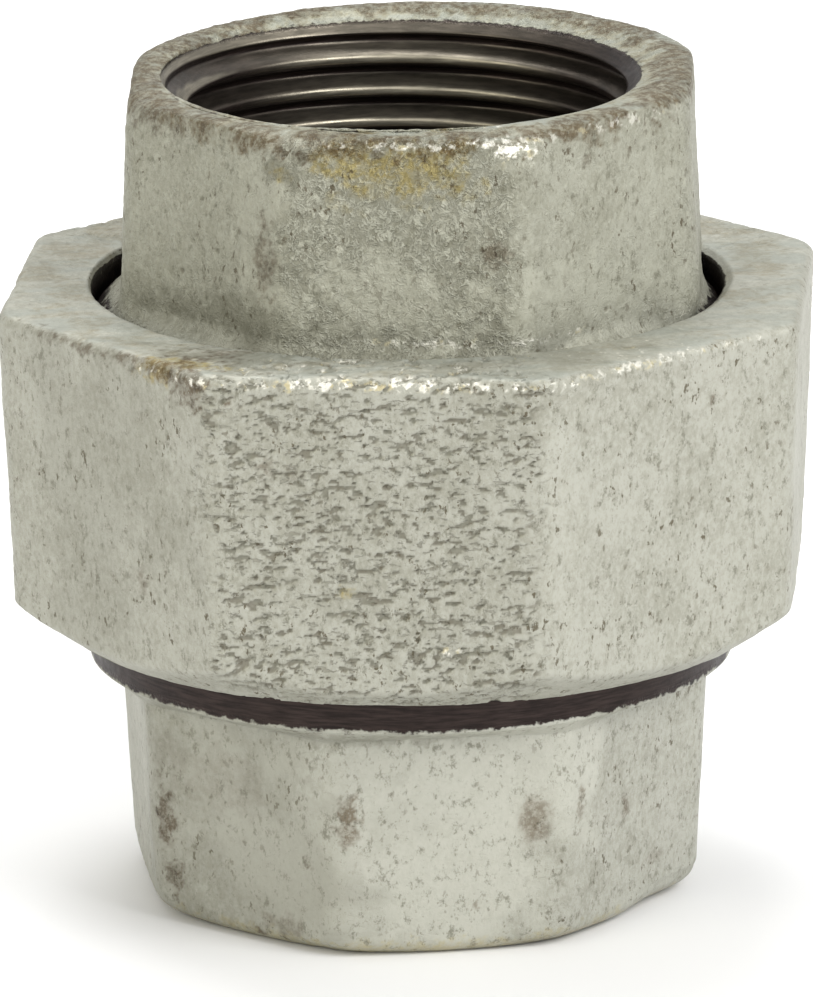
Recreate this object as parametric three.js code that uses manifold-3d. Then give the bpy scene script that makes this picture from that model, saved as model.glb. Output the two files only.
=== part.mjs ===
// Pipe union for 1 inch pipe, malleable iron. Two internally threaded ends are drawn together by a
// loose octagonal nut: the lower end (union_body) carries the outside thread, the upper end
// (union_tail) has a collar that hangs under the nut's lip, and a flat gasket seals between them.
// Millimetres, +Z up along the bore, origin at the centre of the lower end face.
import * as THREE from 'three';
import { mergeVertices } from 'three/addons/utils/BufferGeometryUtils.js';
import Module from 'manifold-3d';

const wasm = await Module();
wasm.setup();

// ---- Driving dimensions -------------------------------------------------------------------

const overallLength = 58;

// Thread form shared by the pipe threads and the union thread: 11 turns per inch, 55 degrees.
const pitch = 25.4 / 11;
const flankAngle = 27.5;
const threadHeight = 1.479;

// Pipe ends
const pipeRootRadius = 16.62;      // deepest radius of the internal pipe thread
const pipeThreadLength = 17;
const mouthChamfer = 0.3;          // how far the mouth opens beyond the thread's root
const bodyWall = 2.45;             // least wall over the pipe thread, at a flat of the lower end
const tailWall = 2.94;             // the same at the upper end
const waterwayStep = 0.85;         // the bore past the thread is this much wider than its crests

// Heights of the lower end, from its end face up
const bodyOctagonHeight = 15.9;
const shoulderHeight = 1.2;
const reliefHeight = 4.8;
const unionThreadLength = 11.1;

// The joint between the two ends
const seatWidth = 6;
const gasketThickness = 2;
const collarThickness = 4;
const collarBearing = 0.85;        // how far the collar reaches under the nut's lip
const lipThickness = 3.94;
const lipChamfer = 0.35;           // on the lip's upper inner edge

// Nut
const nutHeight = 23.64;
const nutWall = 2.18;              // least wall over its thread, at a flat of its lower end
const nutFoot = 0.4;               // ring left flat round its thread, inside the corner chamfer
const nutThreadLead = 0.5;         // the nut's full thread stops this far below the collar

// Casting shape
const bodyDraft = 2.75;            // degrees; every end and the nut taper a little for the mould
const tailDraft = 2.6;
const nutDraft = 2.06;
const endCornerRadius = 3;
const nutCornerRadius = 2.6;
const edgeRound = 1.6;             // rounding of the two pipe ends' outer edges
const nutEdgeRound = 0.8;
const nutChamferAngle = 34;        // of the nut's lower corner chamfer, up from level
const edgeRunOut = 2;              // height over which the rounding runs out into the sides
const flareHeight = 5.5;           // the tail's flare from its flats down into the nut
const flareInside = 1 / 3;         // share of the flare that is below the nut's top
const flareInset = 0.3;            // how far inside the flats the flare starts
const flatsInside = 1;             // how far the tail's flats carry on below the nut's top

// Clearances
const seatGap = 0.2;               // each side of the gasket, and between collar and lip
const neckGap = 0.3;               // radial, between the tail's neck and the nut's lip
const collarGap = 0.3;             // radial, collar inside the nut's thread crests
const threadPlay = 0.3;            // radial, between the two union threads
const threadRelief = 0.3;          // how far a plain cylinder stays below the thread beside it
const gasketGap = 1.2;             // radial, from the gasket to the nut's thread crests
const neckMargin = 0.15;           // how far the neck stands outside the corners above it

// How each piece is turned about the bore when the nut is tight, in degrees
const nutTurn = -12.8;
const tailTurn = -10.3;

// Fineness
const turnSegments = 32;
const cornerSteps = 3;
const roundSteps = 3;
const weldDistance = 1e-5;

// How solids are laid over each other before they are joined or cut
const overrun = 1;                 // how far a cutter runs past the face that it opens
const blankMargin = 0.1;           // how far a thread's blank stands outside its crests
const coreInset = 0.5;             // how far the round core of an end stays inside its flats

// ---- Sizes that follow --------------------------------------------------------------------

const radians = THREE.MathUtils.degToRad;
const octagonStep = Math.PI / 4;
const flankReach = threadHeight * Math.tan(radians(flankAngle));
const threadFlat = pitch / 2 - flankReach;

const pipeCrestRadius = pipeRootRadius - threadHeight;
const mouthRadius = pipeRootRadius + mouthChamfer;
const waterwayRadius = pipeCrestRadius + waterwayStep;

const octagonTop = bodyOctagonHeight;
const shoulderTop = octagonTop + shoulderHeight;
const reliefTop = shoulderTop + reliefHeight;
const seatHeight = reliefTop + unionThreadLength;
const gasketBottom = seatHeight + seatGap;
const gasketTop = gasketBottom + gasketThickness;
const collarBottom = gasketTop + seatGap;
const collarTop = collarBottom + collarThickness;
const lipBottom = collarTop + seatGap;
const nutTop = lipBottom + lipThickness;
const nutBottom = nutTop - nutHeight;

const bodyFlatLow = pipeRootRadius + bodyWall;
const tailFlatHigh = pipeRootRadius + tailWall;
const tailFlatLow = tailFlatHigh + (overallLength - nutTop) * Math.tan(radians(tailDraft));
const neckRadius = Math.max(
  roundedCorner(tailFlatLow, endCornerRadius) + neckMargin,
  waterwayRadius + tailWall,
);
const lipRadius = neckRadius + neckGap;
const collarRadius = lipRadius + collarBearing;
const nutCrestRadius = Math.max(collarRadius + collarGap, waterwayRadius + seatWidth + gasketGap);
const nutRootRadius = nutCrestRadius + threadHeight;
const bodyRootRadius = nutCrestRadius - threadPlay;
const bodyCrestRadius = bodyRootRadius + threadHeight;
const reliefRadius = bodyRootRadius - threadRelief;
const gasketRadius = nutCrestRadius - gasketGap;
const nutFlatLow = nutRootRadius + nutWall;
const nutFlatHigh = nutFlatLow + nutHeight * Math.tan(radians(nutDraft));
const nutFootRadius = nutRootRadius + nutFoot;

// Distance from the bore to the outermost point of an octagon's rounded corner.
function roundedCorner(flatDistance, cornerRadius) {
  return (flatDistance - cornerRadius) / Math.cos(octagonStep / 2) + cornerRadius;
}

// ---- Solids -------------------------------------------------------------------------------

function toSolid(geometry) {
  geometry.deleteAttribute('normal');
  geometry.deleteAttribute('uv');
  const merged = mergeVertices(geometry, weldDistance);
  const corners = merged.index.array;
  const triangles = [];
  for (let i = 0; i < corners.length; i += 3) {
    const [a, b, c] = corners.slice(i, i + 3);
    if (a !== b && b !== c && c !== a) triangles.push(a, b, c);
  }
  return new wasm.Manifold(new wasm.Mesh({
    numProp: 3,
    vertProperties: merged.attributes.position.array,
    triVerts: Uint32Array.from(triangles),
  }));
}

function toGeometry(solid) {
  const mesh = solid.getMesh();
  const geometry = new THREE.BufferGeometry();
  geometry.setAttribute('position', new THREE.BufferAttribute(mesh.vertProperties, 3));
  geometry.setIndex(new THREE.BufferAttribute(mesh.triVerts, 1));
  geometry.computeVertexNormals();
  return geometry;
}

function indexedSolid(points, triangles) {
  const geometry = new THREE.BufferGeometry();
  geometry.setAttribute('position', new THREE.Float32BufferAttribute(points, 3));
  geometry.setIndex(triangles);
  return toSolid(geometry);
}

// A turned solid. The profile is [radius, height] points from the bottom up, and the axis closes it.
function turned(profile) {
  const closed = [[0, profile[0][1]], ...profile, [0, profile[profile.length - 1][1]]];
  const points = closed.map(([radius, height]) => new THREE.Vector2(radius, height));
  const geometry = new THREE.LatheGeometry(points, turnSegments);
  geometry.rotateX(Math.PI / 2);
  return toSolid(geometry);
}

function cylinder(radius, bottom, top) {
  return turned([[radius, bottom], [radius, top]]);
}

// An octagonal prism with rounded corners. Levels are [height, distance to a flat] from the bottom up.
function octagon(levels, cornerRadius) {
  const points = [];
  const triangles = [];
  const ring = 8 * (cornerSteps + 1);
  for (const [height, flatDistance] of levels) {
    const centre = (flatDistance - cornerRadius) / Math.cos(octagonStep / 2);
    for (let corner = 0; corner < 8; corner += 1) {
      const middle = (corner + 0.5) * octagonStep;
      for (let step = 0; step <= cornerSteps; step += 1) {
        const angle = middle + (step / cornerSteps - 0.5) * octagonStep;
        points.push(
          centre * Math.cos(middle) + cornerRadius * Math.cos(angle),
          centre * Math.sin(middle) + cornerRadius * Math.sin(angle),
          height,
        );
      }
    }
  }
  const bottomCentre = points.length / 3;
  const topCentre = bottomCentre + 1;
  const topRing = (levels.length - 1) * ring;
  points.push(0, 0, levels[0][0], 0, 0, levels[levels.length - 1][0]);
  for (let i = 0; i < ring; i += 1) {
    const next = (i + 1) % ring;
    triangles.push(bottomCentre, next, i, topCentre, topRing + i, topRing + next);
    for (let level = 0; level < topRing; level += ring) {
      triangles.push(level + i, level + next, level + ring + next);
      triangles.push(level + i, level + ring + next, level + ring + i);
    }
  }
  return indexedSolid(points, triangles);
}

// A solid screw between two heights: a ridge winds up it right-handed, and its middle passes
// ridgeHeight on the +X side. Both ends run a turn further, so that a cut across them is clean.
function screw(rootRadius, bottom, top, ridgeHeight) {
  const form = [
    [rootRadius, -flankReach - threadFlat / 2],
    [rootRadius + threadHeight, -threadFlat / 2],
    [rootRadius + threadHeight, threadFlat / 2],
    [rootRadius, flankReach + threadFlat / 2],
  ];
  const turns = Math.ceil((top - bottom) / pitch) + 3;
  const start = ridgeHeight + pitch * (Math.floor((bottom - ridgeHeight) / pitch) - 1);
  const rows = turns * form.length;
  const firstColumn = rows + form.length;
  const points = [];
  for (let column = 0; column < turnSegments; column += 1) {
    const angle = (column / turnSegments) * 2 * Math.PI;
    const count = column === 0 ? firstColumn : rows;
    for (let row = 0; row < count; row += 1) {
      const [radius, offset] = form[row % form.length];
      const turn = Math.floor(row / form.length) + column / turnSegments;
      points.push(radius * Math.cos(angle), radius * Math.sin(angle), start + turn * pitch + offset);
    }
  }
  // The last column meets the first one a whole turn higher.
  const at = (column, row) => {
    if (column === turnSegments) return row + form.length;
    return column === 0 ? row : firstColumn + (column - 1) * rows + row;
  };
  const triangles = [];
  const lowEdge = [];
  const highEdge = [];
  for (let column = 0; column < turnSegments; column += 1) {
    for (let row = 0; row < rows - 1; row += 1) {
      triangles.push(at(column, row), at(column + 1, row), at(column + 1, row + 1));
      triangles.push(at(column, row), at(column + 1, row + 1), at(column, row + 1));
    }
    lowEdge.push(at(column, 0));
    highEdge.push(at(column, rows - 1));
  }
  for (let row = form.length; row > 0; row -= 1) {
    lowEdge.push(row);
    highEdge.push(rows - 1 + row);
  }
  const lowCentre = points.length / 3;
  const highCentre = lowCentre + 1;
  points.push(0, 0, start + form[0][1], 0, 0, start + (turns + 1) * pitch - threadFlat);
  lowEdge.forEach((point, i) => {
    triangles.push(lowCentre, lowEdge[(i + 1) % lowEdge.length], point);
    triangles.push(highCentre, highEdge[i], highEdge[(i + 1) % highEdge.length]);
  });
  return indexedSolid(points, triangles);
}

// ---- The four pieces ----------------------------------------------------------------------

const ridgeAtFace = pitch / 4;     // where the union thread's ridge stands below the seat, at +X

// The threaded pocket for a pipe: its mouth is at height `mouth`, and it goes in along `inward`.
function pipePocket(mouth, inward) {
  const depth = (distance) => mouth + inward * distance;
  const upward = (profile) => (inward > 0 ? profile : [...profile].reverse());
  const chamfer = mouthRadius - pipeCrestRadius;
  const envelope = turned(upward([
    [pipeRootRadius + blankMargin, depth(-overrun)],
    [pipeRootRadius + blankMargin, depth(pipeThreadLength - threadHeight)],
    [pipeCrestRadius, depth(pipeThreadLength)],
  ]));
  const opening = turned(upward([
    [mouthRadius + overrun, depth(-overrun)],
    [mouthRadius, depth(0)],
    [pipeCrestRadius, depth(chamfer)],
  ]));
  const heights = [depth(-overrun), depth(pipeThreadLength)].sort((a, b) => a - b);
  const thread = screw(pipeCrestRadius, ...heights, mouth + ridgeAtFace);
  return thread.intersect(envelope).add(opening);
}

// A quarter round where an end face meets the sides, as [radius, height] points up to the face.
function roundedEdge(faceRadius, face, towards) {
  const points = [];
  for (let step = 0; step <= roundSteps; step += 1) {
    const angle = (step / roundSteps) * (Math.PI / 2);
    points.push([
      faceRadius + edgeRound * Math.sin(angle),
      face - towards * edgeRound * (1 - Math.cos(angle)),
    ]);
  }
  return points;
}

function unionBody() {
  const flatAt = (height) => bodyFlatLow + height * Math.tan(radians(bodyDraft));
  const sides = octagon([[0, flatAt(0)], [octagonTop, flatAt(octagonTop)]], endCornerRadius);
  const widest = roundedCorner(flatAt(octagonTop), endCornerRadius) + overrun;
  const ends = turned([
    ...roundedEdge(bodyFlatLow - edgeRound / 2, 0, -1),
    [widest, edgeRound + edgeRunOut],
    [widest, octagonTop],
  ]);
  const core = turned([
    [flatAt(0) - coreInset, edgeRound],
    [flatAt(octagonTop) - coreInset, octagonTop - coreInset],
    [reliefRadius, shoulderTop],
    [reliefRadius, seatHeight],
  ]);
  const leadDrop = bodyCrestRadius - reliefRadius;
  const threadBlank = turned([
    [reliefRadius, reliefTop],
    [bodyCrestRadius + blankMargin, reliefTop + leadDrop],
    [bodyCrestRadius + blankMargin, seatHeight - leadDrop],
    [reliefRadius, seatHeight],
  ]);
  const thread = screw(bodyRootRadius, reliefTop, seatHeight, seatHeight - ridgeAtFace);
  return sides.intersect(ends).add(core).add(thread.intersect(threadBlank))
    .subtract(pipePocket(0, 1))
    .subtract(cylinder(waterwayRadius, pipeThreadLength, seatHeight + overrun));
}

function unionTail() {
  const flatAt = (height) => tailFlatHigh + (overallLength - height) * Math.tan(radians(tailDraft));
  const octagonFoot = nutTop - flatsInside;
  const sides = octagon(
    [[octagonFoot, flatAt(octagonFoot)], [overallLength, flatAt(overallLength)]],
    endCornerRadius,
  );
  const widest = roundedCorner(flatAt(octagonFoot), endCornerRadius) + overrun;
  const ends = turned([
    [widest, octagonFoot],
    [widest, overallLength - edgeRound - edgeRunOut],
    ...roundedEdge(tailFlatHigh - edgeRound / 2, overallLength, 1).reverse(),
  ]);
  const flareFoot = nutTop - flareHeight * flareInside;
  const core = turned([
    [collarRadius, collarBottom],
    [collarRadius, collarTop],
    [neckRadius, collarTop],
    [neckRadius, flareFoot],
    [flatAt(flareFoot + flareHeight) - flareInset, flareFoot + flareHeight],
  ]);
  return sides.intersect(ends).add(core)
    .subtract(pipePocket(overallLength, -1))
    .subtract(cylinder(waterwayRadius, collarBottom - overrun, overallLength - pipeThreadLength));
}

function unionNut() {
  const edgeMiddle = nutEdgeRound * (1 - Math.SQRT1_2);
  const sides = octagon([
    [nutBottom, nutFlatLow],
    [nutTop - nutEdgeRound, nutFlatHigh],
    [nutTop - edgeMiddle, nutFlatHigh - edgeMiddle],
    [nutTop, nutFlatHigh - nutEdgeRound],
  ], nutCornerRadius);
  const widest = roundedCorner(nutFlatHigh, nutCornerRadius) + overrun;
  const chamferRise = (widest - nutFootRadius) * Math.tan(radians(nutChamferAngle));
  const ends = turned([
    [nutFootRadius, nutBottom],
    [widest, nutBottom + chamferRise],
    [widest, nutTop],
  ]);
  const threadTop = collarBottom - nutThreadLead;
  const runOut = nutRootRadius - nutCrestRadius;
  const envelope = turned([
    [nutRootRadius + blankMargin, nutBottom - overrun],
    [nutRootRadius + blankMargin, threadTop],
    [nutCrestRadius, threadTop + runOut],
  ]);
  // The ridge is set back by the nut's own turn, so that it lies in the body's groove when tight.
  const ridgeHeight = seatHeight - ridgeAtFace + (nutTurn / 360) * pitch;
  const thread = screw(nutCrestRadius, nutBottom - overrun, threadTop + runOut, ridgeHeight);
  const leadIn = turned([
    [nutRootRadius + overrun, nutBottom - overrun],
    [nutRootRadius, nutBottom],
    [nutCrestRadius, nutBottom + runOut],
  ]);
  return sides.intersect(ends)
    .subtract(thread.intersect(envelope))
    .subtract(leadIn)
    .subtract(cylinder(nutCrestRadius, threadTop, lipBottom))
    .subtract(turned([
      [lipRadius, lipBottom - overrun],
      [lipRadius, nutTop - lipChamfer],
      [lipRadius + lipChamfer, nutTop],
      [lipRadius + lipChamfer + overrun, nutTop + overrun],
    ]));
}

function gasket() {
  return cylinder(gasketRadius, gasketBottom, gasketTop)
    .subtract(cylinder(waterwayRadius, gasketBottom - overrun, gasketTop + overrun));
}

// ---- Assembly -----------------------------------------------------------------------------

function piece(name, solid, turn, finish) {
  const mesh = new THREE.Mesh(toGeometry(solid), new THREE.MeshStandardMaterial(finish));
  mesh.name = name;
  mesh.rotation.z = radians(turn);
  return mesh;
}

const castZinc = { color: 0xb2b1a0, roughness: 0.5, metalness: 0.6 };
const blackRubber = { color: 0x1c1b1a, roughness: 0.8, metalness: 0 };

const union = new THREE.Group();
union.add(
  piece('union_body', unionBody(), 0, castZinc),
  piece('gasket', gasket(), 0, blackRubber),
  piece('union_tail', unionTail(), tailTurn, castZinc),
  piece('union_nut', unionNut(), nutTurn, castZinc),
);

export default union;
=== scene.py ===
import math
import bpy
import numpy as np
from mathutils import Matrix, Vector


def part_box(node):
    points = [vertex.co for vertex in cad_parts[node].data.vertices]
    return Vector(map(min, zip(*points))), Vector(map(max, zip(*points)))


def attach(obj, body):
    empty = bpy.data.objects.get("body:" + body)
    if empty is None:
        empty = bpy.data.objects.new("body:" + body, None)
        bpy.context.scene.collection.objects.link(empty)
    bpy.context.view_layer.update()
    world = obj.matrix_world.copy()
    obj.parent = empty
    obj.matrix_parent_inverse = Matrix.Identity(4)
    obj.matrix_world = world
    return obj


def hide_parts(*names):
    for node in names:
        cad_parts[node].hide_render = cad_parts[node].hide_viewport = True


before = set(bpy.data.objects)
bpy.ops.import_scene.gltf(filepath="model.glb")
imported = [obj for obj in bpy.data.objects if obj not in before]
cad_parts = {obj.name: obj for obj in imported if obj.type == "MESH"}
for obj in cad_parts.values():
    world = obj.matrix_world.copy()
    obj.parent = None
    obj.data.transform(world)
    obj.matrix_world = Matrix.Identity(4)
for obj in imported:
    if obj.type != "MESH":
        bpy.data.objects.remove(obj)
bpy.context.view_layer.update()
print("frame loaded")

mm = 0.001
pitch = 25.4 / 11  # every thread on the union has 11 turns to the inch
threadHeight = 1.479
octagonStep = math.pi / 4
frontTurn = 270  # degrees from the +X side round to the front
clearSlope = 1.6  # how fast a rounding's curve leaves the side above it
studio = {
    "floor": (0.87, 0.87, 0.875), "sky": 0.70,
    "azimuth": -7.8, "elevation": 15.745, "roll": -0.638, "distance": 651.9, "lens": 334.97,
    "aimHeight": 27.48, "aimAside": -0.23,
}

cameraTurn = math.radians(studio["azimuth"])

# Where each piece starts and ends along the bore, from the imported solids, in mm
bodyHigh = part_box("union_body")[1].z / mm  # the body's lower face is at 0
tailLow, tailHigh = (corner.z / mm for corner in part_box("union_tail"))
nutLow, nutHigh = (corner.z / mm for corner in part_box("union_nut"))
gasketLow, gasketHigh = (corner.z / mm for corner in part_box("gasket"))


# Noise over points in mm: one value per point, about -1 to 1, the same on every run
def cellValue(cell, seed):
    mixed = cell[..., 0] * 374761393 + cell[..., 1] * 668265263 + cell[..., 2] * 1440662683
    mixed = (mixed + seed * 1013904223) & 0xFFFFFFFF
    mixed = ((mixed ^ (mixed >> 13)) * 1274126177) & 0xFFFFFFFF
    mixed = ((mixed ^ (mixed >> 15)) * 461845907) & 0xFFFFFFFF
    return ((mixed ^ (mixed >> 16)) & 0xFFFFF) / 0xFFFFF


turned = np.array(Matrix.Rotation(0.7, 3, (1.0, 0.6, 0.3)))  # keeps the lattice off the axes


def softNoise(points, size, seed):
    spot = (points @ turned.T) / size
    cell = np.floor(spot).astype(np.int64)
    part = spot - cell
    part = part * part * part * (part * (part * 6 - 15) + 10)
    total = np.zeros(points.shape[:-1])
    for corner in range(8):
        step = np.array([corner & 1, corner >> 1 & 1, corner >> 2])
        share = np.prod(np.where(step, part, 1 - part), axis=-1)
        total += share * cellValue(cell + step, seed)
    return total * 2 - 1


def layeredNoise(points, size, seed, layers=3, fade=0.5):
    total = 0
    for layer in range(layers):
        total = total + softNoise(points, size / 2**layer, seed + layer) * fade**layer
    return total


# Separate little pits: 1 in the middle of a pit, 0 outside it
def pits(points, size, seed, share=0.6, reach=0.55):
    spot = points / np.array(size)
    cell = np.floor(spot).astype(np.int64)
    deepest = np.zeros(points.shape[:-1])
    for corner in range(27):
        near = cell + np.array([corner % 3, corner // 3 % 3, corner // 9]) - 1
        centre = near + np.stack([cellValue(near, seed + i) for i in range(3)], -1)
        grain = cellValue(near, seed + 3)
        radius = reach * (0.45 + 0.55 * grain)
        depth = 1 - np.linalg.norm(spot - centre, axis=-1) / radius
        depth = np.where(cellValue(near, seed + 4) < share, depth * (0.5 + 0.5 * grain), 0)
        deepest = np.maximum(deepest, depth)
    return deepest


def smooth(value, low, high):
    part = np.clip((value - low) / (high - low), 0, 1)
    return part * part * (3 - 2 * part)


def softLesser(a, b, blend):
    part = np.clip(0.5 + (b - a) / (2 * blend), 0, 1)
    return b + (a - b) * part - blend * part * (1 - part)


# Distance from the bore to an octagon with rounded corners, in every direction round it
def octagonRadius(angle, flat, corner):
    side = np.abs((angle + octagonStep / 2) % octagonStep - octagonStep / 2)
    off = octagonStep / 2 - side
    centre = (flat - corner) / math.cos(octagonStep / 2)
    onCorner = np.tan(side) > math.tan(octagonStep / 2) * (1 - corner / flat)
    rounded = centre * np.cos(off) + np.sqrt(np.maximum(corner**2 - (centre * np.sin(off)) ** 2, 0))
    return np.where(onCorner, rounded, flat / np.cos(side))


# Radius of a right-hand screw whose ridge passes ridgeHeight on the +X side
def screwRadius(angle, height, root, ridgeHeight):
    along = (height - ridgeHeight) / pitch - angle / (2 * math.pi)
    away = np.abs(along - np.round(along))
    rise = np.clip((0.4166 - away) / 0.3333, 0, 1)
    rise = 0.55 * rise + 0.45 * rise * rise * (3 - 2 * rise)
    return root + threadHeight * rise


# A section is a list of stretches; each holds rows of (radius, height, skin, highlight) round the bore.
# skin is 1 on the cast zinc skin and 0 on turned metal; highlight is 1 where a highlight is painted onto
# turned metal.
def stretch(columns, start, end, count, skin):
    part = np.linspace(0, 1, count, endpoint=False)[:, None]
    rows = np.zeros((count, columns, 4))
    rows[..., 0] = start[0] + (end[0] - start[0]) * part
    rows[..., 1] = start[1] + (end[1] - start[1]) * part
    rows[..., 2] = skin[0] + (skin[1] - skin[0]) * part if isinstance(skin, tuple) else skin
    return rows


def reshaped(rows, radius):
    rows = rows.copy()
    rows[..., 0] = radius
    return rows


def gridPoints(rows, angles):
    radius, height = rows[..., 0], rows[..., 1]
    return np.stack([radius * np.cos(angles), radius * np.sin(angles), height], -1)


def gridNormals(points):
    around = np.roll(points, -1, 1) - np.roll(points, 1, 1)
    along = np.roll(points, -1, 0) - np.roll(points, 1, 0)
    normal = np.cross(around, along)
    return normal / np.maximum(np.linalg.norm(normal, axis=-1, keepdims=True), 1e-9)


# The closed skin of a ring-shaped piece from its grid of points, with its painted marks
def ringMesh(name, points, marks):
    rows, columns = points.shape[:2]
    mesh = bpy.data.meshes.new(name)
    mesh.vertices.add(rows * columns)
    mesh.vertices.foreach_set("co", (points * mm).astype(np.float32).ravel())
    index = np.arange(rows * columns).reshape(rows, columns)
    right, up = np.roll(index, -1, 1), np.roll(index, -1, 0)
    quads = np.stack([index, right, np.roll(up, -1, 1), up], -1).reshape(-1, 4)
    mesh.loops.add(quads.size)
    mesh.loops.foreach_set("vertex_index", quads.astype(np.int32).ravel())
    mesh.polygons.add(len(quads))
    mesh.polygons.foreach_set("loop_start", np.arange(0, quads.size, 4, dtype=np.int32))
    mesh.polygons.foreach_set("use_smooth", np.ones(len(quads), bool))
    mesh.update(calc_edges=True)
    mesh.validate()
    for markName, values in marks.items():
        mark = mesh.attributes.new(markName, "FLOAT", "POINT")
        mark.data.foreach_set("value", values.astype(np.float32).ravel())
    piece = bpy.data.objects.new(name, mesh)
    bpy.context.scene.collection.objects.link(piece)
    return piece


# How strongly each of the eight sides shows a texture, from the +X side round through +Y, blended
# over the corners
def sideShare(points, turn, shares):
    angles = np.arctan2(points[..., 1], points[..., 0]) - math.radians(turn)
    side = (angles / octagonStep + 0.06 * layeredNoise(points, 2.2, 91, 3, 0.7)) % 8
    low = np.floor(side).astype(int) % 8
    blend = smooth(side - np.floor(side), 0.43, 0.57)
    table = np.array(shares, float)
    return table[low] * (1 - blend) + table[(low + 1) % 8] * blend


# A soft-edged spot: degrees round from the front (-Y), height, distance out from the bore (0 for
# any), half its width, half its height and how ragged it is. The spots in a piece's values have
# their strength after the half height, and may leave the raggedness out.
def spotShare(points, turn, height, out, halfWidth, halfHeight, ragged=0.6):
    angle = np.arctan2(points[..., 0], -points[..., 1]) - math.radians(turn)
    angle = (angle + math.pi) % (2 * math.pi) - math.pi
    radius = np.hypot(points[..., 0], points[..., 1])
    rise = points[..., 2] - height
    if out:
        rise = np.hypot(rise, radius - out)
    distance = np.hypot(angle * radius / halfWidth, rise / halfHeight)
    near = distance < 2.5
    share = np.zeros(distance.shape)
    noise = layeredNoise(points[near], max(min(halfWidth, halfHeight), 0.5), 5, 4, 0.75)
    share[near] = 1 - smooth(distance[near] + ragged * noise, 0.45, 1.2)
    return share


# The cast skin's relief in mm: slow waviness, orange peel, lens-shaped pits lying nearly level
# and single pinholes
def castRelief(points, look):
    peel = sideShare(points, look["turn"], look["peel"])
    dimple = sideShare(points, look["turn"], look["dimple"])
    relief = look["wave"] * layeredNoise(points, 9, 11, 2)
    relief = relief + look["plaster"] * layeredNoise(points, 1.8, 21, 3)
    relief = relief + peel * look["peelHeight"] * layeredNoise(points, 0.95, 31, 3, 0.65)
    leaning = points * (1, 1, 2.3)
    leaning[..., 2] -= 0.25 * points[..., 0]
    lying = layeredNoise(leaning, 0.68, 41, 3, 0.55)
    hole = smooth(lying + 0.1 * layeredNoise(points, 3.5, 51, 2), 0.27, 0.58) * dimple
    scattered = smooth(pits(points, (1.5, 1.5, 1.3), 81, look["pinholes"], 0.26), 0.1, 0.6)
    relief = relief - look["dimpleDepth"] * hole - 0.08 * scattered
    return relief, np.maximum(hole, scattered), peel, dimple


# Shifts the casting off the bore, raises its skin, works out the marks that the zinc material
# reads, and makes the piece
def castPiece(name, rows, look, angles):
    points = gridPoints(rows, angles)
    skin = np.clip(rows[..., 2], 0, 1)
    cast = skin > 0.01
    aside, back = look["shift"]
    toSide, toBack = cameraTurn, cameraTurn + math.pi / 2
    share = np.clip(2 * skin - 1, 0, 1)
    points[..., 0] += share * (aside * math.cos(toSide) + back * math.cos(toBack))
    points[..., 1] += share * (aside * math.sin(toSide) + back * math.sin(toBack))
    normal = gridNormals(points)
    relief, marks = np.zeros(skin.shape), {}
    for mark in ("pit", "peel", "dimple", "ochre", "brown", "paintedShade", "pale", "glint"):
        marks[mark] = np.zeros(skin.shape)
    found = castRelief(points[cast], look)
    for target, values in zip((relief, marks["pit"], marks["peel"], marks["dimple"]), found):
        target[cast] = values
    points = points + normal * (relief * skin)[..., None]
    for mark in ("ochre", "brown", "paintedShade", "pale", "glint"):
        for spot in look[mark]:
            marks[mark] = np.maximum(marks[mark], spot[5] * spotShare(points, *spot[:5], *spot[6:]))
    marks["skin"], marks["paintedHighlight"], marks["level"] = skin, rows[..., 3], smooth(normal[..., 2], 0.75, 0.97)
    piece = ringMesh(name, points, marks)
    print(name, "made with", skin.size, "points")
    return piece


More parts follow.
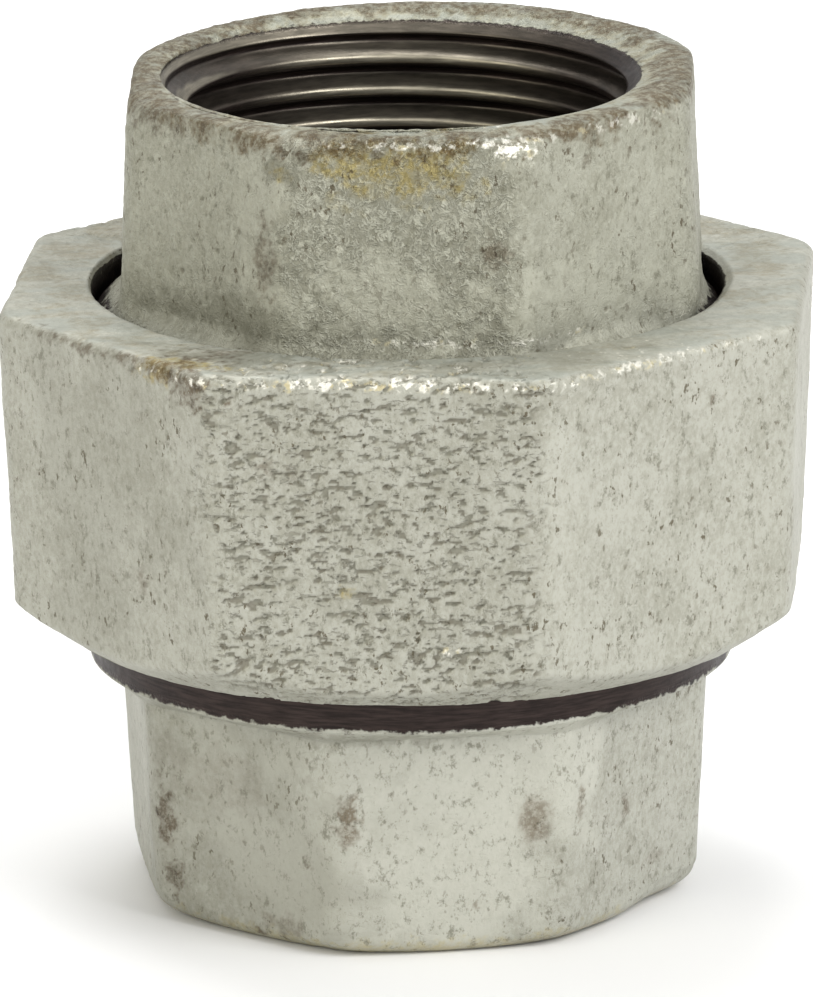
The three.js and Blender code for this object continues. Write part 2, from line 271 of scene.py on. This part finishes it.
# Materials
class Nodes:
    def __init__(self, name):
        self.material = bpy.data.materials.new(name)
        self.material.use_nodes = True
        self.tree = self.material.node_tree
        self.shader = self.tree.nodes["Principled BSDF"]

    def add(self, kind, **values):
        node = self.tree.nodes.new(kind)
        for key, value in values.items():
            setattr(node, key, value)
        return node

    def link(self, a, b):
        self.tree.links.new(a, b)

    def mark(self, name):
        return self.add("ShaderNodeAttribute", attribute_name=name).outputs["Fac"]

    def noise(self, size, detail=4.0, rough=0.6, stretch=(1, 1, 1), distort=0.0):
        place = self.add("ShaderNodeTexCoord")
        scale = self.add("ShaderNodeMapping")
        scale.inputs["Scale"].default_value = [1000 / size * s for s in stretch]
        self.link(place.outputs["Object"], scale.inputs["Vector"])
        noise = self.add("ShaderNodeTexNoise")
        noise.inputs["Scale"].default_value = 1
        noise.inputs["Detail"].default_value = detail
        noise.inputs["Roughness"].default_value = rough
        noise.inputs["Distortion"].default_value = distort
        self.link(scale.outputs["Vector"], noise.inputs["Vector"])
        return noise.outputs["Fac"]

    def remap(self, value, low, high, outLow=0.0, outHigh=1.0):
        node = self.add("ShaderNodeMapRange", interpolation_type="SMOOTHSTEP")
        self.link(value, node.inputs["Value"])
        for key, number in zip(("From Min", "From Max", "To Min", "To Max"), (low, high, outLow, outHigh)):
            node.inputs[key].default_value = number
        return node.outputs["Result"]

    def math(self, operation, a, b, clamp=True):
        node = self.add("ShaderNodeMath", operation=operation, use_clamp=clamp)
        for socket, value in zip(node.inputs, (a, b)):
            if isinstance(value, (int, float)):
                socket.default_value = value
            else:
                self.link(value, socket)
        return node.outputs[0]

    def mix(self, share, a, b, blend="MIX"):
        node = self.add("ShaderNodeMix", data_type="RGBA", blend_type=blend)
        self.link(share, node.inputs["Factor"])
        for socket, value in zip((node.inputs[6], node.inputs[7]), (a, b)):
            if isinstance(value, tuple):
                socket.default_value = (*value, 1)
            else:
                self.link(value, socket)
        return node.outputs[2]

    def ridges(self, value, width):
        away = self.math("ABSOLUTE", self.math("SUBTRACT", value, 0.5, clamp=False), 0.0)
        return self.remap(away, width, 0)

    def bump(self, height, strength, distance, under=None):
        node = self.add("ShaderNodeBump")
        node.inputs["Strength"].default_value = strength
        node.inputs["Distance"].default_value = distance * mm
        self.link(height, node.inputs["Height"])
        if under:
            self.link(under, node.inputs["Normal"])
        return node.outputs["Normal"]


# Colours of the zinc skin and of the bare metal; ochre and brown are tints laid over the skin; the last
# three are the colours of painted highlights
zincLook = {
    "pale": (0.48, 0.48, 0.405),
    "mid": (0.35, 0.347, 0.276),
    "dark": (0.165, 0.160, 0.110),
    "dulled": (0.27, 0.295, 0.265),
    "speck": (0.105, 0.09, 0.056),
    "ochre": (1.0, 0.84, 0.43),
    "brown": (0.33, 0.26, 0.19),
    "turned": (0.026, 0.018, 0.0158),
    "metalHighlight": (0.62, 0.57, 0.44),
    "highlightWhite": (0.85, 0.83, 0.74),
    "highlightGold": (0.52, 0.46, 0.28),
}


# Hot-dip zinc on a cast skin, with bare turned metal wherever the skin mark fades out
def zincMaterial(name, tone):
    n = Nodes(name)
    pale, mid, dark = (tuple(t * c for t, c in zip(tone, zincLook[k])) for k in ("pale", "mid", "dark"))
    pit, calm = n.remap(n.mark("pit"), 0.15, 1.0), n.remap(n.mark("pale"), 0, 1, 1, 0.35)
    peel = n.math("MULTIPLY", n.mark("peel"), calm)
    # Cloudy base colour
    broad = n.remap(n.noise(6, 4), 0.32, 0.68)
    mottle = n.noise(1.1, 6, 0.8, (1, 1, 0.85))
    grain = n.noise(0.34, 4, 0.7, (1, 1, 0.7))
    cloudy = n.math("MULTIPLY", n.remap(mottle, 0.34, 0.66), 0.35)
    value = n.math("ADD", n.math("MULTIPLY", broad, 0.25), cloudy)
    value = n.math("ADD", value, n.math("MULTIPLY", n.remap(grain, 0.3, 0.7), 0.4))
    colour = n.mix(n.remap(value, 0.1, 0.8), mid, pale)
    # The pale mark: painted light on sides and places turned to the light, and whiter zinc where it curls
    # over the tail's mouth
    colour = n.mix(n.math("MULTIPLY", n.mark("pale"), 0.7), colour, tuple(1.25 * c for c in pale))
    # Dark flecks, fewer on skin that faces up
    fleck = n.remap(n.noise(0.75, 6, 0.78, (1, 1, 0.7)), 0.53, 0.66)
    rough = n.remap(n.mark("level"), 0, 1, 1, 0.3)
    colour = n.mix(n.math("MULTIPLY", n.math("MULTIPLY", fleck, 0.75), rough), colour, dark)
    # Little curling ridges of zinc: painted highlights on the ridges and painted shade in the hollows
    # between them
    worm = n.ridges(n.noise(0.85, 3, 0.6, (1, 1, 0.8), distort=0.9), 0.075)
    smallWorm = n.ridges(n.noise(0.48, 3, 0.6, distort=0.5), 0.08)
    worm = n.math("MAXIMUM", worm, n.math("MULTIPLY", smallWorm, 0.8))
    worm = n.math("MULTIPLY", worm, n.remap(n.noise(1.0, 4, 0.7), 0.36, 0.58, 0.25, 1))
    hollowShade = n.math("MULTIPLY", n.math("SUBTRACT", 1.0, worm), n.math("MULTIPLY", peel, 0.5))
    colour = n.mix(hollowShade, colour, dark)
    ridgeLight = n.math("MULTIPLY", worm, n.math("MULTIPLY", peel, 0.65))
    colour = n.mix(ridgeLight, colour, tuple(1.22 * c for c in pale))
    # Specks, pits and the short level dashes of a dimpled side; the pits and dashes take the darker brown
    # of the zinc in them, deepened with painted shade
    speck = n.remap(n.noise(0.5, 4, 0.62, (1, 1, 0.6)), 0.6, 0.66)
    patchy = n.remap(n.noise(4, 3), 0.38, 0.58)
    speck = n.math("MULTIPLY", n.math("MULTIPLY", speck, patchy), n.math("MULTIPLY", rough, calm))
    colour = n.mix(speck, colour, zincLook["speck"])
    tint = n.mix(n.remap(n.noise(0.9, 4), 0.42, 0.58), zincLook["speck"], dark)
    colour = n.mix(n.math("MULTIPLY", pit, 0.62), colour, tint)
    dash = n.remap(n.noise(0.66, 3, 0.55, (1, 1, 2.2)), 0.6, 0.64)
    dash = n.math("MULTIPLY", dash, n.mark("dimple"))
    colour = n.mix(n.math("MULTIPLY", dash, 0.38), colour, tint)
    # Level streaks on skin that faces up, painted shade and stains
    streak = n.math("MULTIPLY", n.remap(n.noise(1.7, 4, 0.6, (0.28, 1, 1)), 0.42, 0.62), n.mark("level"))
    colour = n.mix(n.math("MULTIPLY", streak, 0.45), colour, zincLook["dulled"])
    # Painted shade: darker places and sides where shade falls
    colour = n.mix(n.math("MULTIPLY", n.mark("paintedShade"), 0.6), colour, dark)
    stain = n.remap(n.noise(0.6, 6, 0.75), 0.36, 0.62)
    ochre = n.math("MULTIPLY", n.mark("ochre"), n.remap(stain, 0, 1, 0.35, 1))
    colour = n.mix(ochre, colour, zincLook["ochre"], "MULTIPLY")
    brown = n.math("MULTIPLY", n.mark("brown"), n.remap(stain, 0, 1, 0.4, 1))
    colour = n.mix(brown, colour, zincLook["brown"], "MULTIPLY")
    # Painted highlights: white and gold glints along edges
    sparkle = n.math("MULTIPLY", n.mark("glint"), n.remap(n.noise(0.55, 4, 0.6), 0.46, 0.57))
    glintColour = n.mix(n.remap(n.noise(1.6, 3), 0.52, 0.6), zincLook["highlightWhite"], zincLook["highlightGold"])
    colour = n.mix(sparkle, colour, glintColour)
    # Turned metal, showing where the skin mark fades out along a ragged edge
    ragged = n.math("SUBTRACT", n.noise(0.7, 5), 0.5, clamp=False)
    ragged = n.math("ADD", n.mark("skin"), n.math("MULTIPLY", ragged, 0.9, clamp=False), clamp=False)
    skin = n.remap(ragged, 0.42, 0.58)
    lathe = n.remap(n.noise(0.18, 3, 0.6, (0.08, 0.08, 1)), 0.3, 0.7)
    metal = zincLook["turned"]
    metal = n.mix(lathe, tuple(0.6 * c for c in metal), tuple(1.5 * c for c in metal))
    # Painted highlights on the turned metal: crest lines, lighter flanks and a lighter chamfer in the
    # upper pocket, and a thin line round the band
    paintedHighlight = n.math("MULTIPLY", n.mark("paintedHighlight"), n.remap(lathe, 0, 1, 0.7, 1))
    metal = n.mix(paintedHighlight, metal, zincLook["metalHighlight"])
    n.link(n.mix(skin, metal, colour), n.shader.inputs["Base Color"])
    n.link(n.remap(skin, 0, 1, 0.8, 0.3), n.shader.inputs["Metallic"])
    gloss = n.math("MULTIPLY", n.remap(mottle, 0.3, 0.7), 0.15)
    gloss = n.math("ADD", gloss, n.remap(skin, 0, 1, 0.33, 0.45))
    n.link(n.math("SUBTRACT", gloss, n.math("MULTIPLY", sparkle, 0.25)), n.shader.inputs["Roughness"])
    fine = n.bump(grain, 0.3, 0.05)
    fine = n.bump(n.math("MULTIPLY", worm, peel), 0.8, 0.14, fine)
    fine = n.bump(n.math("SUBTRACT", 1.0, dash), 0.8, 0.11, fine)
    n.link(n.bump(skin, 0.6, 0.06, fine), n.shader.inputs["Normal"])
    return n.material


def rubberMaterial():
    n = Nodes("black sealing rubber")
    colour = n.mix(n.remap(n.noise(2.5, 5), 0.3, 0.7), (0.012, 0.012, 0.013), (0.04, 0.038, 0.036))
    n.link(colour, n.shader.inputs["Base Color"])
    n.link(n.remap(n.noise(0.8, 4), 0.3, 0.7, 0.55, 0.8), n.shader.inputs["Roughness"])
    n.link(n.bump(n.noise(0.25, 4), 0.4, 0.05), n.shader.inputs["Normal"])
    return n.material


def finished(piece, material, body, node):
    piece.data.materials.append(material)
    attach(piece, body)
    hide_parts(node)


# Threaded pocket for a pipe, as rows from the waterway out to the mouth; inward is +1 from the
# lower mouth and -1 from the upper one
pocket = {
    "root": 16.62, "depth": 17, "chamfer": 0.08, "chamferBlend": 0.12, "waterway": 15.991, "rowGap": 0.13,
}


def pocketRows(angles, mouth, inward, ridgeHeight, aside=0, highlightPlan=None):
    crest = pocket["root"] - threadHeight
    inner = mouth + inward * pocket["depth"]
    count = int(pocket["depth"] / pocket["rowGap"])
    rows = stretch(len(angles), (0, inner), (0, mouth), count, 0)
    height = rows[..., 1]
    depth = np.abs(height - mouth)
    thread = screwRadius(angles, height, crest, ridgeHeight)
    runOut = crest + np.maximum(pocket["depth"] - depth, 0)
    thread = np.minimum(thread, np.maximum(runOut, crest))
    offCentre = aside * np.cos(angles - cameraTurn)
    chamfer = pocket["root"] + pocket["chamfer"] - depth - offCentre
    rows[..., 0] = -softLesser(-thread, -chamfer, pocket["chamferBlend"])
    # Painted highlights: crest lines and lighter flanks about the given turn, and painted light on the
    # mouth's chamfer, strongest on the camera's left
    if highlightPlan:
        away = np.abs((angles - math.radians(highlightPlan["turn"] - 90) + math.pi) % (2 * math.pi) - math.pi)
        window = 1 - smooth(away, 0.1, math.radians(highlightPlan["reach"]))
        ridge = 1 - smooth(rows[..., 0] - crest, 0.02, 0.25)
        chamferLit = 0.5 - 0.5 * np.cos(angles - cameraTurn)
        onChamfer = smooth(chamfer - thread, 0, 0.1)
        opening = np.gradient(rows[..., 0], axis=0) / np.gradient(rows[..., 1], axis=0)
        flank = smooth(opening, 0.2, 1) * (0.3 + 0.7 * window) * highlightPlan["flank"]
        paintedHighlight = np.maximum(ridge * window * highlightPlan["crest"], flank)
        rows[..., 3] = paintedHighlight * (1 - onChamfer) + onChamfer * chamferLit * highlightPlan["chamfer"]
    return rows


body = {
    "turn": 0, "columns": 800, "flat": 19.07, "draft": 2.75, "corner": 3, "octagonTop": 15.9,
    "shoulderTop": 17.1, "skinEnd": 0.6, "relief": 22.61, "reliefTop": 21.9, "threadRoot": 22.91,
    "highlightLine": 0.16, "footBlend": 0.8,
    "face": 17.9, "faceShape": 0.4, "dent": (54, 11, 0.7), "round": 1.8, "roundWidth": 2.2,
    "wave": 0.08, "plaster": 0.02, "peelHeight": 0.04, "dimpleDepth": 0.06, "pinholes": 0.07,
    "peel": [0.15] * 8, "dimple": [0.12] * 8, "shift": (0, 0), "tone": (0.85, 0.85, 0.875),
    "ochre": [(-20, 0.4, 0, 40, 0.8, 0.5)],
    "brown": [
        (16.4, 9.7, 0, 1.35, 2.1, 0.8, 0.15), (-64.5, 7.9, 0, 0.9, 1.9, 1.0), (-63, 3.6, 0, 0.7, 1.2, 1.0),
        (-29, 6.8, 0, 0.35, 0.5, 0.9), (26.3, 10.3, 0, 0.4, 1.3, 0.8), (41.4, 8.8, 0, 0.5, 0.9, 0.8),
        (-20.7, 10.2, 0, 0.8, 1.9, 0.9), (-42, 0.8, 0, 0.5, 0.35, 1.0), (-35, 1.6, 0, 1.6, 0.9, 0.5),
        (-53, 12, 0, 5, 2.5, 0.25), (5, 3.5, 0, 0.3, 0.3, 0.8), (52, 4, 0, 1.2, 0.6, 0.4),
    ],
    # Painted shade on the left side and along the shoulder just below the band
    "paintedShade": [(-50, 9, 0, 12, 12, 0.6), (-18, 16.2, 0, 9, 0.8, 0.6)],
    # The pale spot is painted light over the front
    "pale": [(-2, 8, 0, 17, 12, 0.85)], "glint": [],
}


def makeBody():
    look = body
    angles = np.arange(look["columns"]) / look["columns"] * 2 * math.pi
    columns = look["columns"]
    ridge = bodyHigh - pitch / 4

    def side(height):
        flat = look["flat"] + height * math.tan(math.radians(look["draft"]))
        return octagonRadius(angles, flat, look["corner"])

    mouth = pocket["root"] + pocket["chamfer"]
    dentTurn, dentReach, dentDepth = look["dent"]
    dent = dentDepth * np.exp(-((np.degrees(angles) - frontTurn - dentTurn) / dentReach) ** 2)
    face = look["face"] + look["faceShape"] * (side(0) - look["flat"]) - dent
    section = [stretch(columns, (mouth, 0), (face, 0), 8, (0.35, 1))]
    rows = stretch(columns, (0, 0), (0, look["octagonTop"]), 90, 1)
    height = rows[..., 1]
    below = np.clip(1 - height / look["round"], 0, 1)
    relieved = face + look["roundWidth"] * (1 - below**1.7)
    relieved = relieved + np.maximum(height - look["round"], 0) * clearSlope
    section.append(reshaped(rows, softLesser(side(height), relieved, look["footBlend"])))
    top = side(look["octagonTop"])
    foot, edge = look["relief"], look["shoulderTop"] + look["skinEnd"]
    section.append(stretch(columns, (top, look["octagonTop"]), (foot, look["shoulderTop"]), 14, (1, 0.62)))
    section.append(stretch(columns, (foot, look["shoulderTop"]), (foot, edge), 6, (0.62, 0.15)))
    rows = stretch(columns, (foot, edge), (foot, look["reliefTop"]), 24, 0)
    # A painted highlight: a thin lighter line round the band just under the nut
    rows[..., 3] = look["highlightLine"] * (1 - smooth(np.abs(rows[..., 1] - nutLow + 0.15), 0.05, 0.2))
    section.append(rows)
    rows = stretch(columns, (0, look["reliefTop"]), (0, bodyHigh), 90, 0)
    height = rows[..., 1]
    radius = screwRadius(angles, height, look["threadRoot"], ridge)
    radius = np.minimum(radius, look["relief"] + height - look["reliefTop"])
    radius = np.minimum(radius, look["relief"] + bodyHigh - height)
    section.append(reshaped(rows, np.maximum(radius, look["relief"])))
    bore = pocket["waterway"]
    section.append(stretch(columns, (look["relief"], bodyHigh), (bore, bodyHigh), 14, 0))
    section.append(stretch(columns, (bore, bodyHigh), (bore, pocket["depth"]), 24, 0))
    section.append(pocketRows(angles, 0, 1, pitch / 4))
    return castPiece("unionBody", np.concatenate(section), look, angles)


tail = {
    "turn": -10.3, "columns": 900, "flat": 19.4, "draft": 2.6, "corner": 3, "neck": 21.75,
    "collar": 22.9, "collarTop": 39.4, "flareFoot": 41.7, "flareTop": 45.8, "round": 2.0,
    "crown": 0.85, "crownLean": 30, "mouthAside": 0.4, "shift": (0.5, 0.6),
    "faceIn": 0.6, "skinFrom": (41, 44), "neckBlend": 0.35, "rimBlend": 0.5, "tone": (0.72, 0.717, 0.69),
    "wave": 0.09, "plaster": 0.02, "peelHeight": 0.06, "dimpleDepth": 0.06, "pinholes": 0.18,
    "peel": [0.5, 0.6, 0.5, 0.7, 0.5, 0.35, 1.0, 0.25],
    "dimple": [0.1, 0.3, 0.2, 0.4, 0.1, 0.1, 0.15, 0.1],
    "ochre": [
        (-12.5, 56.2, 0, 5.8, 1.6, 1.0), (-11, 54.6, 0, 4.2, 1.4, 0.45), (180, 58.3, 18.3, 150, 1.6, 0.3),
    ],
    "brown": [
        (-34, 57.0, 0, 0.6, 0.5, 1.0), (-28.6, 56.7, 0, 0.6, 0.5, 1.0), (-25.7, 57.0, 0, 0.4, 0.35, 1.0),
        (-21.6, 57.2, 0, 0.5, 0.4, 1.0), (-18.2, 57.2, 0, 0.5, 0.4, 1.0), (-9.7, 56.6, 0, 0.45, 0.4, 1.0),
        (-36.8, 49, 0, 1.0, 2.3, 0.75), (-67, 57.4, 0, 4.5, 0.9, 0.8), (9, 50.2, 0, 0.85, 1.15, 0.8),
        (-14, 56.9, 0, 0.5, 0.4, 0.9), (31, 55.4, 0, 0.5, 0.4, 0.7),
        (180, 58.4, 18.9, 150, 1.6, 1.0), (-95, 58.2, 18.3, 16, 1.8, 1.0), (150, 58.4, 18.8, 9, 0.9, 0.9),
    ],
    # Painted shade low on the left where the tail meets the nut, and a small patch high on the front-left
    "paintedShade": [(-33, 55.6, 0, 1.6, 1.2, 0.9), (-50, 44.6, 0, 8, 1.5, 0.7)],
    # Pale spots: painted light on the front, low down and at the right corner, and whiter zinc curling
    # over the mouth at the back
    "pale": [
        (15.5, 45.8, 0, 0.9, 2.4, 0.8), (-8, 46, 0, 10, 3.5, 0.8), (30, 45.5, 0, 9, 3, 0.5),
        (-172, 58.6, 17.2, 11, 0.7, 0.8), (-35, 53, 0, 4, 3, 0.3),
    ],
    "glint": [
        (13.2, 57.0, 0, 1.7, 0.7, 0.9), (-1, 57.45, 0, 5.8, 0.3, 0.7), (33, 57.5, 0, 7, 0.3, 0.4),
        (3, 43.9, 0, 7, 0.25, 0.6),
    ],
}
# Painted highlights in the upper pocket: degrees round from the front, how far round they reach, and how
# strong they are on the crests, the flanks and the chamfer
metalHighlight = {"turn": 172, "reach": 55, "crest": 0.75, "flank": 0.26, "chamfer": 0.4}


def makeTail():
    look = tail
    columns = look["columns"]
    angles = np.arange(columns) / columns * 2 * math.pi
    own = angles - math.radians(look["turn"])

    def side(height):
        flat = look["flat"] + (tailHigh - height) * math.tan(math.radians(look["draft"]))
        return octagonRadius(own, flat, look["corner"])

    bore = pocket["waterway"]
    section = [
        stretch(columns, (bore, tailLow), (look["collar"], tailLow), 12, 0),
        stretch(columns, (look["collar"], tailLow), (look["collar"], look["collarTop"]), 14, 0),
        stretch(columns, (look["collar"], look["collarTop"]), (look["neck"], look["collarTop"]), 4, 0),
    ]
    rows = stretch(columns, (0, look["collarTop"]), (0, tailHigh), 140, 1)
    height = rows[..., 1]
    rise = np.clip((height - look["flareFoot"]) / (look["flareTop"] - look["flareFoot"]), 0, 1)
    flare = look["neck"] - (look["neck"] - look["flat"]) * (1 - (1 - rise) ** 2)
    sides = -softLesser(-side(height), -flare, look["neckBlend"])
    sides = np.where(height < look["flareFoot"], look["neck"], sides)
    face = look["flat"] - look["faceIn"]
    below = np.clip(1 - (tailHigh - height) / look["round"], 0, 1)
    cut = look["round"] * (1 - np.sqrt(1 - below**2))
    relieved = face + look["round"] - cut
    relieved = relieved + np.maximum(tailHigh - height - look["round"], 0) * clearSlope
    rows[..., 0] = softLesser(sides, relieved, look["rimBlend"])
    rows[..., 2] = 0.15 + 0.85 * smooth(height, *look["skinFrom"])
    backward = 0.5 + 0.5 * np.sin(angles - cameraTurn + math.radians(look["crownLean"]))
    lift = look["crown"] * backward
    rows[..., 1] += lift * smooth(height, tailHigh - 3 * look["round"], tailHigh)
    section.append(rows)
    mouth = pocket["root"] + pocket["chamfer"] - look["mouthAside"] * np.cos(angles - cameraTurn)
    rim = stretch(columns, (face, tailHigh), (0, tailHigh), 26, (1, 0.5))
    inner = np.linspace(0, 1, len(rim), endpoint=False)[:, None]
    rim[..., 0] = face + (mouth - face) * inner
    rim[..., 1] = tailHigh + lift * (1 - inner**3)
    rim[..., 2] = 1 - 0.5 * smooth(inner, 0.75, 1)
    section.append(rim)
    ridge = tailHigh + pitch / 4
    section.append(pocketRows(angles, tailHigh, -1, ridge, look["mouthAside"], metalHighlight)[::-1])
    section.append(stretch(columns, (bore, tailHigh - pocket["depth"]), (bore, tailLow), 16, 0))
    return castPiece("unionTail", np.concatenate(section), look, angles)


nut = {
    "turn": -12.8, "columns": 1200, "flatLow": 26.87, "flatHigh": 27.72, "corner": 2.6, "foot": 25.09,
    "chamfer": 34, "edge": 0.8, "lip": 22.1, "lipBottom": 39.6, "lipChamfer": 0.4, "crest": 23.21,
    "threadEnd": 1.0, "chamferBlend": 0.55, "shift": (0.2, 0), "tone": (0.81, 0.807, 0.82),
    "wave": 0.09, "plaster": 0.035, "peelHeight": 0.03, "dimpleDepth": 0.19, "pinholes": 0.07,
    "peel": [0.1, 0.2, 0.2, 0.2, 0.1, 0.12, 0.1, 0.03],
    "dimple": [0.1, 0.4, 0.7, 0.5, 0.2, 0.06, 1.0, 0.02],
    "ochre": [
        (-41, 43.5, 27.6, 3.2, 1.3, 1.0), (-17, 28.5, 0, 0.5, 0.4, 1.0), (180, 43.6, 25, 55, 2.6, 0.2),
    ],
    "brown": [
        (180, 43.6, 25, 55, 2.6, 0.32), (-38, 42.4, 0, 2.2, 1.2, 1.0), (-54, 43.2, 27.9, 8, 0.6, 0.8),
        (-43, 43.3, 27.7, 1.8, 0.7, 1.0), (-42, 42.9, 0, 2.2, 0.8, 1.0),
        (-28, 37.4, 0, 0.7, 0.6, 0.6), (-24.5, 36.8, 0, 0.8, 0.5, 0.5),
        (-50, 27.5, 0, 0.5, 1.0, 0.6), (40, 39.5, 0, 0.3, 0.4, 0.8),
    ],
    # Painted shade on the top in front of the tail and over the left side
    "paintedShade": [(-39, 43.54, 25, 6, 2.4, 0.9), (12, 43.54, 25, 7, 2.0, 0.5), (-60, 33, 0, 9, 12, 0.3)],
    # Pale spots: a painted highlight down the front-right corner and a lighter patch on the top
    "pale": [(13, 32, 0, 1.6, 11, 0.25), (-14, 43.54, 25.5, 4, 1.2, 0.6)],
    "glint": [
        (-13.5, 43.05, 0, 13, 0.32, 0.95), (27, 43.1, 0, 7.5, 0.28, 0.6), (-2, 24.4, 0, 0.5, 0.3, 0.8),
    ],
}


def makeNut():
    look = nut
    columns = look["columns"]
    angles = np.arange(columns) / columns * 2 * math.pi
    own = angles - math.radians(look["turn"])
    ridge = bodyHigh - pitch / 4

    def side(height):
        part = (height - nutLow) / (nutHigh - nutLow)
        flat = look["flatLow"] + (look["flatHigh"] - look["flatLow"]) * part
        return octagonRadius(own, flat, look["corner"])

    root = look["crest"] + threadHeight
    section = [stretch(columns, (root, nutLow), (look["foot"], nutLow), 3, (0, 0.8))]
    rows = stretch(columns, (0, nutLow), (0, nutHigh - look["edge"]), 155, 1)
    height = rows[..., 1]
    cone = look["foot"] + (height - nutLow) / math.tan(math.radians(look["chamfer"]))
    section.append(reshaped(rows, softLesser(side(height), cone, look["chamferBlend"])))
    rows = stretch(columns, (0, 0), (0, math.pi / 2), 9, 1)
    turn = rows[..., 1].copy()
    rows[..., 1] = nutHigh - look["edge"] * (1 - np.sin(turn))
    rows[..., 0] = side(rows[..., 1]) - look["edge"] * (1 - np.cos(turn))
    section.append(rows)
    edge = side(nutHigh) - look["edge"]
    lip, crest, lipBottom, lipChamfer = look["lip"], look["crest"], look["lipBottom"], look["lipChamfer"]
    threadEnd = tailLow + look["threadEnd"]
    section.append(stretch(columns, (edge, nutHigh), (lip + lipChamfer, nutHigh), 26, 1))
    section.append(stretch(columns, (lip + lipChamfer, nutHigh), (lip, nutHigh - lipChamfer), 4, (1, 0.5)))
    section.append(stretch(columns, (lip, nutHigh - lipChamfer), (lip, lipBottom), 12, (0.35, 0)))
    section.append(stretch(columns, (lip, lipBottom), (crest, lipBottom), 4, 0))
    section.append(stretch(columns, (crest, lipBottom), (crest, threadEnd), 8, 0))
    rows = stretch(columns, (0, threadEnd), (0, nutLow), 70, 0)
    height = rows[..., 1]
    radius = screwRadius(angles, height, crest, ridge)
    radius = np.minimum(radius, crest + np.maximum(threadEnd - height, 0))
    section.append(reshaped(rows, np.maximum(radius, root - (height - nutLow))))
    return castPiece("unionNut", np.concatenate(section), look, angles)


gasket = {"columns": 256, "inner": 15.991, "outer": 22.01, "round": 0.3}


def makeGasket():
    look = gasket
    columns = look["columns"]
    angles = np.arange(columns) / columns * 2 * math.pi
    middleRadius, middleHeight = (look["inner"] + look["outer"]) / 2, (gasketLow + gasketHigh) / 2
    halfWidth, halfHeight = (look["outer"] - look["inner"]) / 2, (gasketHigh - gasketLow) / 2
    corners = []
    for start, sideways, upward in ((-90, 1, -1), (0, 1, 1), (90, -1, 1), (180, -1, -1)):
        for step in range(5):
            turn = math.radians(start + step * 22.5)
            corners.append((
                middleRadius + sideways * (halfWidth - look["round"]) + look["round"] * math.cos(turn),
                middleHeight + upward * (halfHeight - look["round"]) + look["round"] * math.sin(turn),
            ))
    corners = np.array(corners)
    rows = np.zeros((len(corners), columns, 4))
    rows[..., 0], rows[..., 1] = corners[:, :1], corners[:, 1:]
    return ringMesh("gasketRing", gridPoints(rows, angles), {})


bodyPiece = makeBody()
finished(bodyPiece, zincMaterial("zinc on the body", body["tone"]), "body", "union_body")
tailPiece = makeTail()
finished(tailPiece, zincMaterial("zinc on the tail", tail["tone"]), "tail", "union_tail")
nutPiece = makeNut()
finished(nutPiece, zincMaterial("zinc on the nut", nut["tone"]), "nut", "union_nut")
gasketPiece = makeGasket()
finished(gasketPiece, rubberMaterial(), "gasket", "gasket")
print("four pieces finished")


# Floor, lights and camera
def makeFloor():
    mesh = bpy.data.meshes.new("floor")
    reach = 3.0
    corners = [(-reach, -reach, 0), (reach, -reach, 0), (reach, reach, 0), (-reach, reach, 0)]
    mesh.from_pydata(corners, [], [(0, 1, 2, 3)])
    floor = bpy.data.objects.new("floor", mesh)
    bpy.context.scene.collection.objects.link(floor)
    material = bpy.data.materials.new("pale floor")
    material.use_nodes = True
    shader = material.node_tree.nodes["Principled BSDF"]
    shader.inputs["Base Color"].default_value = (*studio["floor"], 1)
    shader.inputs["Roughness"].default_value = 0.6
    mesh.materials.append(material)


# Each light: degrees round from the front, degrees up, metres away, its two sides, watts and colour
lights = {
    "key from the right": (45, 38, 2.2, (1.1, 1.1), 37, (1, 1, 1)),
    "fill from the left": (-60, 25, 2.2, (1.4, 1.4), 14, (1, 0.965, 0.8)),
    "top and behind": (190, 66, 2.2, (1.2, 1.2), 29, (1, 1, 1)),
}


def makeLight(name, azimuth, elevation, distance, size, power, colour):
    data = bpy.data.lights.new(name, "AREA")
    data.shape = "RECTANGLE"
    data.size, data.size_y = size
    data.energy = power
    data.color = colour
    light = bpy.data.objects.new(name, data)
    turn, rise = math.radians(azimuth), math.radians(elevation)
    back = np.array([math.sin(turn) * math.cos(rise), -math.cos(turn) * math.cos(rise), math.sin(rise)])
    light.location = back * distance + np.array([0, 0, 0.03])
    light.rotation_euler = light.location.to_track_quat("Z", "Y").to_euler()
    bpy.context.scene.collection.objects.link(light)


def makeCamera():
    turn, rise, roll = (math.radians(studio[k]) for k in ("azimuth", "elevation", "roll"))
    back = np.array([math.sin(turn) * math.cos(rise), -math.cos(turn) * math.cos(rise), math.sin(rise)])
    side = np.array([math.cos(turn), math.sin(turn), 0])
    up = np.cross(back, side)
    across = math.cos(roll) * side + math.sin(roll) * up
    above = -math.sin(roll) * side + math.cos(roll) * up
    aim = np.array([0, 0, studio["aimHeight"]]) + side * studio["aimAside"]
    place = (aim + back * studio["distance"]) * mm
    data = bpy.data.cameras.new("camera")
    data.lens = studio["lens"]
    data.clip_start, data.clip_end = 0.05, 20
    camera = bpy.data.objects.new("camera", data)
    bpy.context.scene.collection.objects.link(camera)
    rows = [[across[i], above[i], back[i], place[i]] for i in range(3)]
    camera.matrix_world = Matrix(rows + [[0, 0, 0, 1]])
    bpy.context.scene.camera = camera


makeFloor()
for lightName, values in lights.items():
    makeLight(lightName, *values)
makeCamera()
world = bpy.data.worlds.new("studio")
world.use_nodes = True
world.node_tree.nodes["Background"].inputs["Color"].default_value = (1, 1, 1, 1)
world.node_tree.nodes["Background"].inputs["Strength"].default_value = studio["sky"]
bpy.context.scene.world = world
bpy.context.scene.view_settings.view_transform = "Standard"
print("studio set")
